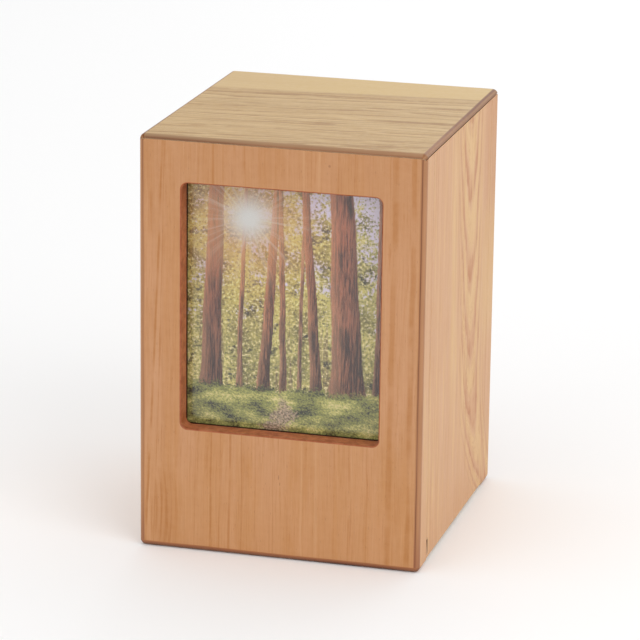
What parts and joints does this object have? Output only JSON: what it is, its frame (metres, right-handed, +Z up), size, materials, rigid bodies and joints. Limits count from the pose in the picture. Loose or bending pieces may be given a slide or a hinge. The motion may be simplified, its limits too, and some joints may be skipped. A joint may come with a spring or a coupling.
{
  "type": "cremation urn box",
  "caption": "Upright wooden keepsake box for ashes with routed edges, a glazed photo window in its front and a screwed-on base.",
  "frame": {"origin": "centre of the box's footprint, on the surface that it stands on", "axes": "+Z up; +X along the width, to the right as seen from the front; the window faces -Y"},
  "size_m": [0.15, 0.163, 0.22],
  "materials": {
    "front_wood": "satin lacquered wood veneer, vertical grain, orange brown",
    "side_wood": "satin lacquered wood veneer, vertical grain, light pinkish brown",
    "top_wood": "satin lacquered wood veneer, grain from left to right, light yellowish brown",
    "base_board": "plain stained board",
    "screw_steel": "plated steel",
    "clear_pane": "clear, polished",
    "photo_paper": null,
    "backing_card": "plain board"
  },
  "bodies": {
    "root": {"front_panel": "front_wood", "back_panel": "front_wood", "left_side_panel": "side_wood", "right_side_panel": "side_wood", "top_panel": "top_wood", "base_panel": "base_board", "base_screw_1": "screw_steel", "base_screw_2": "screw_steel", "base_screw_3": "screw_steel", "base_screw_4": "screw_steel", "photo_pane": "clear_pane", "photo_print": "photo_paper", "photo_backing": "backing_card"}
  },
  "joints": []
}
